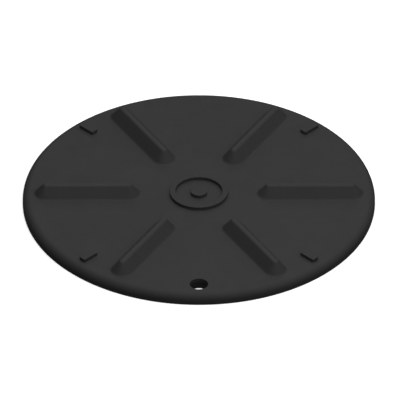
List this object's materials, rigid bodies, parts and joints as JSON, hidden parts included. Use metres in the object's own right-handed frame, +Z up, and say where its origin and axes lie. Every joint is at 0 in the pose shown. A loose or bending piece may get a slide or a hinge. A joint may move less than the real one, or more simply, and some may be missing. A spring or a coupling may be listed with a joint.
{
  "type": "manhole cover",
  "caption": "Round black composite manhole cover with raised radial ribs, small bars, a plain round centre emblem and a through lift hole at its edge.",
  "frame": {"origin": "centre of the seat, the flat underside of the rim that the cover rests on", "axes": "+Z up through the deck along the cover's axis, -Y towards the lift hole, +X along a raised rib"},
  "size_m": [0.65, 0.65, 0.044],
  "materials": {
    "shell_composite": "black moulded composite, satin, very fine grain",
    "plate_composite": "black pressed composite sheet, matt",
    "spider_steel": "hot-dip galvanised steel",
    "core_foam": "closed-cell foam, cut faces",
    "insert_brass": "turned brass",
    "screw_steel": "stainless steel, dull",
    "sleeve_plastic": "black extruded polyethylene",
    "seal_rubber": "matt black rubber"
  },
  "bodies": {
    "root": {"top_shell": "shell_composite", "bottom_plate": "plate_composite", "spider_hub": "spider_steel", "spider_ring": "spider_steel", "rib_spoke_1": "spider_steel", "rib_spoke_2": "spider_steel", "rib_spoke_3": "spider_steel", "rib_spoke_4": "spider_steel", "rib_spoke_5": "spider_steel", "rib_spoke_6": "spider_steel", "core_sector_1": "core_foam", "core_sector_2": "core_foam", "core_sector_3": "core_foam", "core_sector_4": "core_foam", "core_sector_5": "core_foam", "core_sector_6": "core_foam", "screw_insert_1": "insert_brass", "screw_insert_2": "insert_brass", "screw_insert_3": "insert_brass", "screw_insert_4": "insert_brass", "screw_insert_5": "insert_brass", "screw_insert_6": "insert_brass", "screw_insert_7": "insert_brass", "screw_insert_8": "insert_brass", "screw_insert_9": "insert_brass", "screw_insert_10": "insert_brass", "screw_insert_11": "insert_brass", "screw_insert_12": "insert_brass", "plate_screw_1": "screw_steel", "plate_screw_2": "screw_steel", "plate_screw_3": "screw_steel", "plate_screw_4": "screw_steel", "plate_screw_5": "screw_steel", "plate_screw_6": "screw_steel", "plate_screw_7": "screw_steel", "plate_screw_8": "screw_steel", "plate_screw_9": "screw_steel", "plate_screw_10": "screw_steel", "plate_screw_11": "screw_steel", "plate_screw_12": "screw_steel", "hub_screw": "screw_steel", "lift_hole_sleeve": "sleeve_plastic", "rim_seal": "seal_rubber"}
  },
  "joints": []
}
